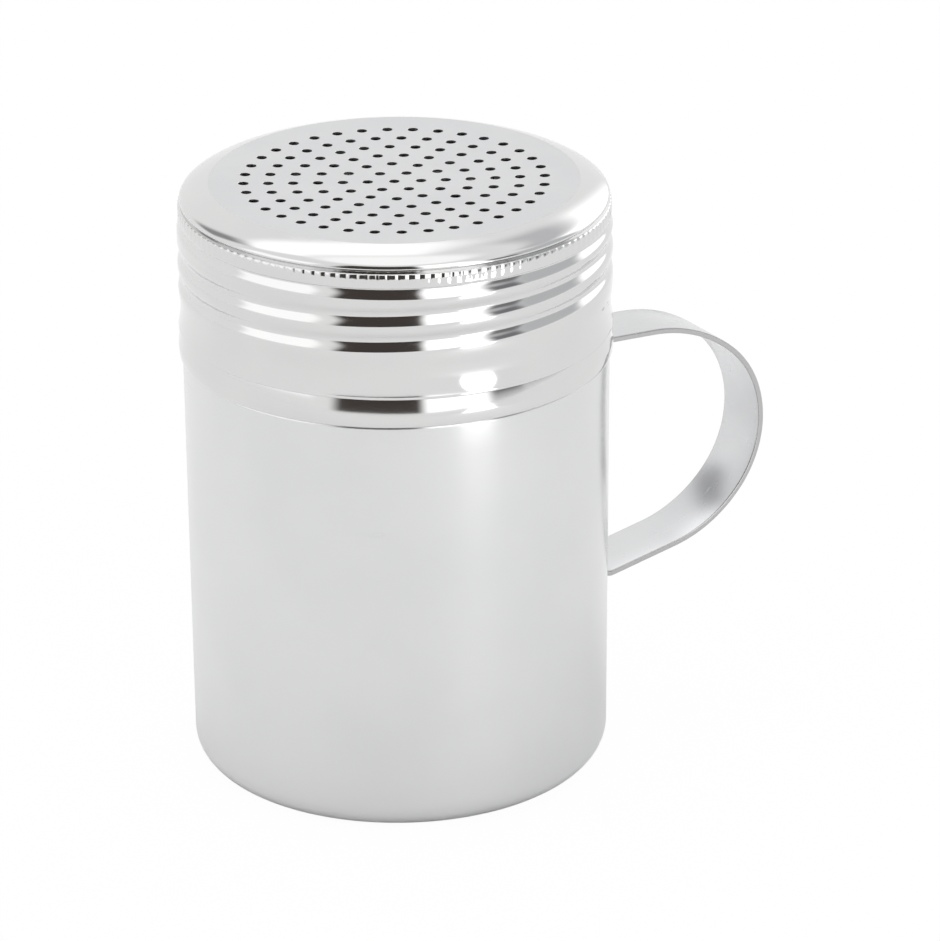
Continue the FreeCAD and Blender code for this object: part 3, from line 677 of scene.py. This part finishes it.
# Sweeps the strap along its middle line and presses both flanges to the round of the can
def strapTree():
    tree, entry = newTree("BentStrap", strapSizes)
    line = step(tree, "GeometryNodeMeshToCurve", Mesh=entry["Geometry"])
    level = step(tree, "GeometryNodeSetCurveNormal", {"mode": "FREE"}, Curve=line.outputs[0],
                 Normal=(0.0, 1.0, 0.0))
    along = step(tree, "GeometryNodeSplineParameter").outputs["Length"]
    kept = step(tree, "GeometryNodeStoreNamedAttribute", {"data_type": "FLOAT", "domain": "POINT"},
                Geometry=level.outputs[0], Name="strapRun", Value=along)
    outline = step(tree, "GeometryNodeCurvePrimitiveQuadrilateral", Width=length(tree, entry, "Width"),
                   Height=length(tree, entry, "Thickness"))
    soft = step(tree, "GeometryNodeFilletCurve", {"mode": "POLY"}, Curve=outline.outputs[0], Count=3,
                Radius=length(tree, entry, "Edge"))
    swept = step(tree, "GeometryNodeCurveToMesh", Curve=kept.outputs[0], Profile_Curve=soft.outputs[0],
                 Fill_Caps=True)
    axes = step(tree, "ShaderNodeSeparateXYZ", Vector=step(tree, "GeometryNodeInputPosition").outputs[0])
    x, y = axes.outputs[:2]
    wall = length(tree, entry, "Wall")
    away = fadeIn(tree, calc(tree, "SUBTRACT", x, wall), length(tree, entry, "Flange Reach"),
                  length(tree, entry, "Arm Reach"))
    inside = calc(tree, "SUBTRACT", calc(tree, "MULTIPLY", wall, wall), calc(tree, "MULTIPLY", y, y))
    drop = calc(tree, "SUBTRACT", calc(tree, "SQRT", inside), wall)
    press = calc(tree, "MULTIPLY", drop, calc(tree, "SUBTRACT", 1.0, away))
    pressed = step(tree, "GeometryNodeSetPosition", Geometry=swept.outputs[0],
                   Offset=step(tree, "ShaderNodeCombineXYZ", X=press).outputs[0])
    endTree(tree, entry, pressed.outputs[0])
    return tree


def makeHandle():
    piece = newPiece("strap_handle", strapLine())
    runTree(piece, strapTree(), strapSteel, strapSizes)
    finishMesh(piece, turnOut=True)
    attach(piece, "can")
    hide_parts("handle")
    return piece


handle = makeHandle()
print("handle made: %d faces" % len(handle.data.polygons))

weldSizes = {"Weld Radius": 2.0, "Rise": 0.12, "Sunk": 0.3, "Face": 33.9, "Sides": 32}
weldLevels = (52.15, 57.65, 36.5, 42.0)
# Dimple of a weld: shares of its radius, and its depth in rises
weldDimple = {"floor": 0.35, "wall": 0.8, "rim": 0.84, "depth": 1.6}
weldLook = {
    "color": (0.60, 0.585, 0.565), "shade": (0.50, 0.485, 0.47), "mottle": 500.0,
    "roughness": 0.34, "roughSpread": 0.06, "anisotropy": 0.0,
    "grain": (2500.0, 2500.0, 2500.0), "grainBump": 0.0000015, "wave": 700.0, "waveBump": 0.00003,
    "scratch": (260.0, 900.0, 1.0), "scratchDepth": 0.09,
}
weldSteel = steelFinish("weldSteel", weldLook)


# Spot welds: one shallow dimple with a raised lip, set on each point of the piece
def weldTree():
    tree, entry = newTree("SpotWelds", weldSizes)
    radius, rise = length(tree, entry, "Weld Radius"), length(tree, entry, "Rise")
    sunk = length(tree, entry, "Sunk")
    disc = step(tree, "GeometryNodeMeshCylinder", Vertices=entry["Sides"], Fill_Segments=8, Radius=radius,
                Depth=calc(tree, "ADD", rise, sunk))
    spot = step(tree, "ShaderNodeSeparateXYZ", Vector=step(tree, "GeometryNodeInputPosition").outputs[0])
    x, y, z = spot.outputs
    reach = calc(tree, "SQRT", calc(tree, "ADD", calc(tree, "MULTIPLY", x, x), calc(tree, "MULTIPLY", y, y)))
    part = calc(tree, "DIVIDE", reach, radius)
    dip = calc(tree, "SUBTRACT", fadeIn(tree, part, weldDimple["floor"], weldDimple["wall"]), 1.0)
    rim = calc(tree, "MULTIPLY", fadeIn(tree, part, weldDimple["rim"], 1.0), -1.0)
    depth = calc(tree, "MULTIPLY", dip, weldDimple["depth"])
    shape = calc(tree, "MULTIPLY", calc(tree, "ADD", depth, rim), rise)
    sink = calc(tree, "MULTIPLY", shape, calc(tree, "GREATER_THAN", z, 0.0))
    formed = step(tree, "GeometryNodeSetPosition", Geometry=disc.outputs[0],
                  Offset=step(tree, "ShaderNodeCombineXYZ", Z=sink).outputs[0])
    lift = calc(tree, "MULTIPLY", calc(tree, "SUBTRACT", rise, sunk), 0.5)
    moved = step(tree, "GeometryNodeTransform", Geometry=formed.outputs[0],
                 Translation=step(tree, "ShaderNodeCombineXYZ", Z=lift).outputs[0])
    welds = step(tree, "GeometryNodeInstanceOnPoints", Points=entry["Geometry"], Instance=moved.outputs[0],
                 Rotation=(0.0, math.pi / 2, 0.0))
    placed = step(tree, "GeometryNodeTransform", Geometry=welds.outputs[0],
                  Translation=step(tree, "ShaderNodeCombineXYZ", X=length(tree, entry, "Face")).outputs[0])
    endTree(tree, entry, placed.outputs[0])
    return tree


def makeWelds():
    places = bpy.data.meshes.new("weld_places")
    places.from_pydata([(0, 0, level * mm) for level in weldLevels], [], [])
    piece = newPiece("spot_weld_marks", places)
    runTree(piece, weldTree(), weldSteel, weldSizes)
    finishMesh(piece, sharpAngle=50, turnOut=True)
    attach(piece, "can")
    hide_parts("spot_welds")
    return piece


welds = makeWelds()
print("welds made: %d faces" % len(welds.data.polygons))

# The photograph's viewpoint, worked out from the rings of holes and the can's outline
viewpoint = {
    "azimuth": -30.8, "elevation": 23.284, "distance": 0.8283, "aimHeight": 0.0429, "focal": 202.4,
    "sensor": 36.0, "turnRight": 0.7803, "turnUp": 0.2364, "roll": -0.7239,
}


def makeCamera():
    v = viewpoint
    azimuth, elevation = math.radians(v["azimuth"]), math.radians(v["elevation"])
    back = Vector((math.sin(azimuth) * math.cos(elevation), -math.cos(azimuth) * math.cos(elevation),
                   math.sin(elevation)))
    right = upAxis.cross(back).normalized()
    up = back.cross(right)
    look = Matrix((right, up, back)).transposed()
    look = Matrix.Rotation(math.radians(-v["turnRight"]), 3, up) @ look
    look = Matrix.Rotation(math.radians(v["turnUp"]), 3, look.col[0]) @ look
    look = Matrix.Rotation(math.radians(v["roll"]), 3, look.col[2]) @ look
    data = bpy.data.cameras.new("camera")
    data.lens, data.sensor_width = v["focal"], v["sensor"]
    data.clip_start, data.clip_end = 0.01, 50.0
    camera = bpy.data.objects.new("camera", data)
    camera.matrix_world = Matrix.Translation(back * v["distance"] + upAxis * v["aimHeight"]) @ look.to_4x4()
    bpy.context.scene.collection.objects.link(camera)
    bpy.context.scene.camera = camera


makeCamera()

# Studio seen by the steel: a pale tent with dark gaps beside the camera and brighter boxes between them.
# A card is (from, to) in degrees to the right of the camera and above the horizon, each with soft ends
studio = {
    "tent": 1.0, "floorTone": 1.0, "floorColor": 0.95, "floorGlow": 0.97, "floorSize": 6.0, "floorDrop": 0.05,
}
studioCards = {
    "ceiling": {
        "turn": (-400, 400), "turnSoft": 5, "lift": (69, 100), "liftSoft": 5, "tone": (1.35, 1.35, 1.35),
    },
    "rear left box": {
        "turn": (-190, -112), "turnSoft": 8, "lift": (49, 67), "liftSoft": 3, "tone": (1.5, 1.5, 1.5),
    },
    "rear right box": {
        "turn": (168, 190), "turnSoft": 8, "lift": (49, 67), "liftSoft": 3, "tone": (1.5, 1.5, 1.5),
    },
    "dark gap": {
        "turn": (-32, 14), "turnSoft": 4, "lift": (-5, 54), "liftSoft": 4, "tone": (0.066, 0.056, 0.05),
    },
    "right box": {
        "turn": (14, 48), "turnSoft": 4, "lift": (-8, 56), "liftSoft": 4, "tone": (1.7, 1.7, 1.7),
    },
    "right gap": {
        "turn": (50, 69), "turnSoft": 3, "lift": (1, 28), "liftSoft": 6, "tone": (0.22, 0.22, 0.23),
    },
    "grey wall": {
        "turn": (68, 108), "turnSoft": 5, "lift": (1, 40), "liftSoft": 6, "tone": (0.62, 0.63, 0.64),
    },
    "far box": {
        "turn": (111, 160), "turnSoft": 4, "lift": (-4, 35), "liftSoft": 4, "tone": (1.6, 1.6, 1.6),
    },
    "far gap": {
        "turn": (98, 158), "turnSoft": 6, "lift": (40, 54), "liftSoft": 4, "tone": (0.66, 0.66, 0.68),
    },
    "left box": {
        "turn": (-88, -44), "turnSoft": 4, "lift": (6, 40), "liftSoft": 5, "tone": (1.4, 1.4, 1.4),
    },
    "left gap": {
        "turn": (-136, -114), "turnSoft": 6, "lift": (20, 46), "liftSoft": 6, "tone": (0.34, 0.34, 0.35),
    },
}
# A low round lamp to the right of the camera, in metres, which the lid's band shows as a white dome
lowLamp = {"turn": 40.0, "distance": 0.26, "height": 0.026, "width": 0.085, "tall": 0.09, "tone": 1.4}


def makeWorld():
    world = bpy.data.worlds.new("studio")
    bpy.context.scene.world = world
    world.use_nodes = True
    tree = world.node_tree
    tree.nodes.clear()
    sky = tree.nodes.new("ShaderNodeTexCoord").outputs["Generated"]
    ray = step(tree, "ShaderNodeSeparateXYZ", Vector=sky)
    x, y, z = ray.outputs
    facing = math.radians(viewpoint["azimuth"])
    side = calc(tree, "ADD", calc(tree, "MULTIPLY", x, math.cos(facing)),
                calc(tree, "MULTIPLY", y, math.sin(facing)))
    front = calc(tree, "SUBTRACT", calc(tree, "MULTIPLY", x, math.sin(facing)),
                 calc(tree, "MULTIPLY", y, math.cos(facing)))
    turn = calc(tree, "DEGREES", calc(tree, "ARCTAN2", side, front))
    lift = calc(tree, "DEGREES", calc(tree, "ARCSINE", z))
    tone = (studio["tent"],) * 3 + (1.0,)

    def within(value, limits, soft):
        start = fadeIn(tree, value, limits[0] - soft, limits[0] + soft)
        end = fadeIn(tree, value, limits[1] - soft, limits[1] + soft)
        return calc(tree, "MULTIPLY", start, calc(tree, "SUBTRACT", 1.0, end))

    for card in studioCards.values():
        share = calc(tree, "MULTIPLY", within(turn, card["turn"], card["turnSoft"]),
                     within(lift, card["lift"], card["liftSoft"]))
        mix = step(tree, "ShaderNodeMix", {"data_type": "RGBA"})
        feed(tree, mix.inputs["Factor"], share)
        feed(tree, mix.inputs["A"], tone)
        feed(tree, mix.inputs["B"], (*card["tone"], 1.0))
        tone = mix.outputs["Result"]
    seen = step(tree, "ShaderNodeMix", {"data_type": "RGBA"})
    feed(tree, seen.inputs["Factor"], tree.nodes.new("ShaderNodeLightPath").outputs["Is Camera Ray"])
    feed(tree, seen.inputs["A"], tone)
    feed(tree, seen.inputs["B"], (1.0, 1.0, 1.0, 1.0))
    glow = step(tree, "ShaderNodeBackground", Color=seen.outputs["Result"], Strength=1.0)
    leave = step(tree, "ShaderNodeOutputWorld")
    tree.links.new(glow.outputs[0], leave.inputs["Surface"])


# Plain pale floor: nearly white to the camera, so that it keeps a trace of the shadow, and chalk to the steel
def makeFloor():
    half = studio["floorSize"] / 2
    mesh = bpy.data.meshes.new("floor")
    corners = [(-half, -half, 0), (half, -half, 0), (half, half, 0), (-half, half, 0)]
    mesh.from_pydata(corners, [], [(0, 1, 2, 3)])
    floor = newPiece("floor", mesh)
    material = bpy.data.materials.new("paleFloor")
    material.use_nodes = True
    tree = material.node_tree
    tree.nodes.clear()
    path = tree.nodes.new("ShaderNodeLightPath")
    chalk = step(tree, "ShaderNodeBsdfDiffuse", Color=(studio["floorColor"],) * 3 + (1.0,))
    glow = step(tree, "ShaderNodeEmission", Color=(1.0, 1.0, 1.0, 1.0), Strength=studio["floorTone"])
    share = calc(tree, "MULTIPLY", path.outputs["Is Camera Ray"], studio["floorGlow"])
    mix = step(tree, "ShaderNodeMixShader")
    feed(tree, mix.inputs[0], share)
    tree.links.new(chalk.outputs[0], mix.inputs[1])
    tree.links.new(glow.outputs[0], mix.inputs[2])
    leave = step(tree, "ShaderNodeOutputMaterial")
    tree.links.new(mix.outputs[0], leave.inputs["Surface"])
    mesh.materials.append(material)
    floor.location.z = -studio["floorDrop"] * mm


def makeLowLamp():
    v = lowLamp
    azimuth = math.radians(viewpoint["azimuth"] + v["turn"])
    away = Vector((math.sin(azimuth), -math.cos(azimuth), 0))
    data = bpy.data.lights.new("lowLamp", "AREA")
    data.shape, data.size, data.size_y = "ELLIPSE", v["width"], v["tall"]
    area = math.pi * v["width"] * v["tall"] / 4
    data.energy = v["tone"] * math.pi * area
    lamp = bpy.data.objects.new("lowLamp", data)
    place = Matrix.Translation(away * v["distance"] + upAxis * v["height"])
    lamp.matrix_world = place @ away.to_track_quat("Z", "Y").to_matrix().to_4x4()
    lamp.visible_camera = False
    bpy.context.scene.collection.objects.link(lamp)


makeWorld()
makeFloor()
makeLowLamp()
bpy.context.scene.view_settings.view_transform = "Standard"
print("studio made")
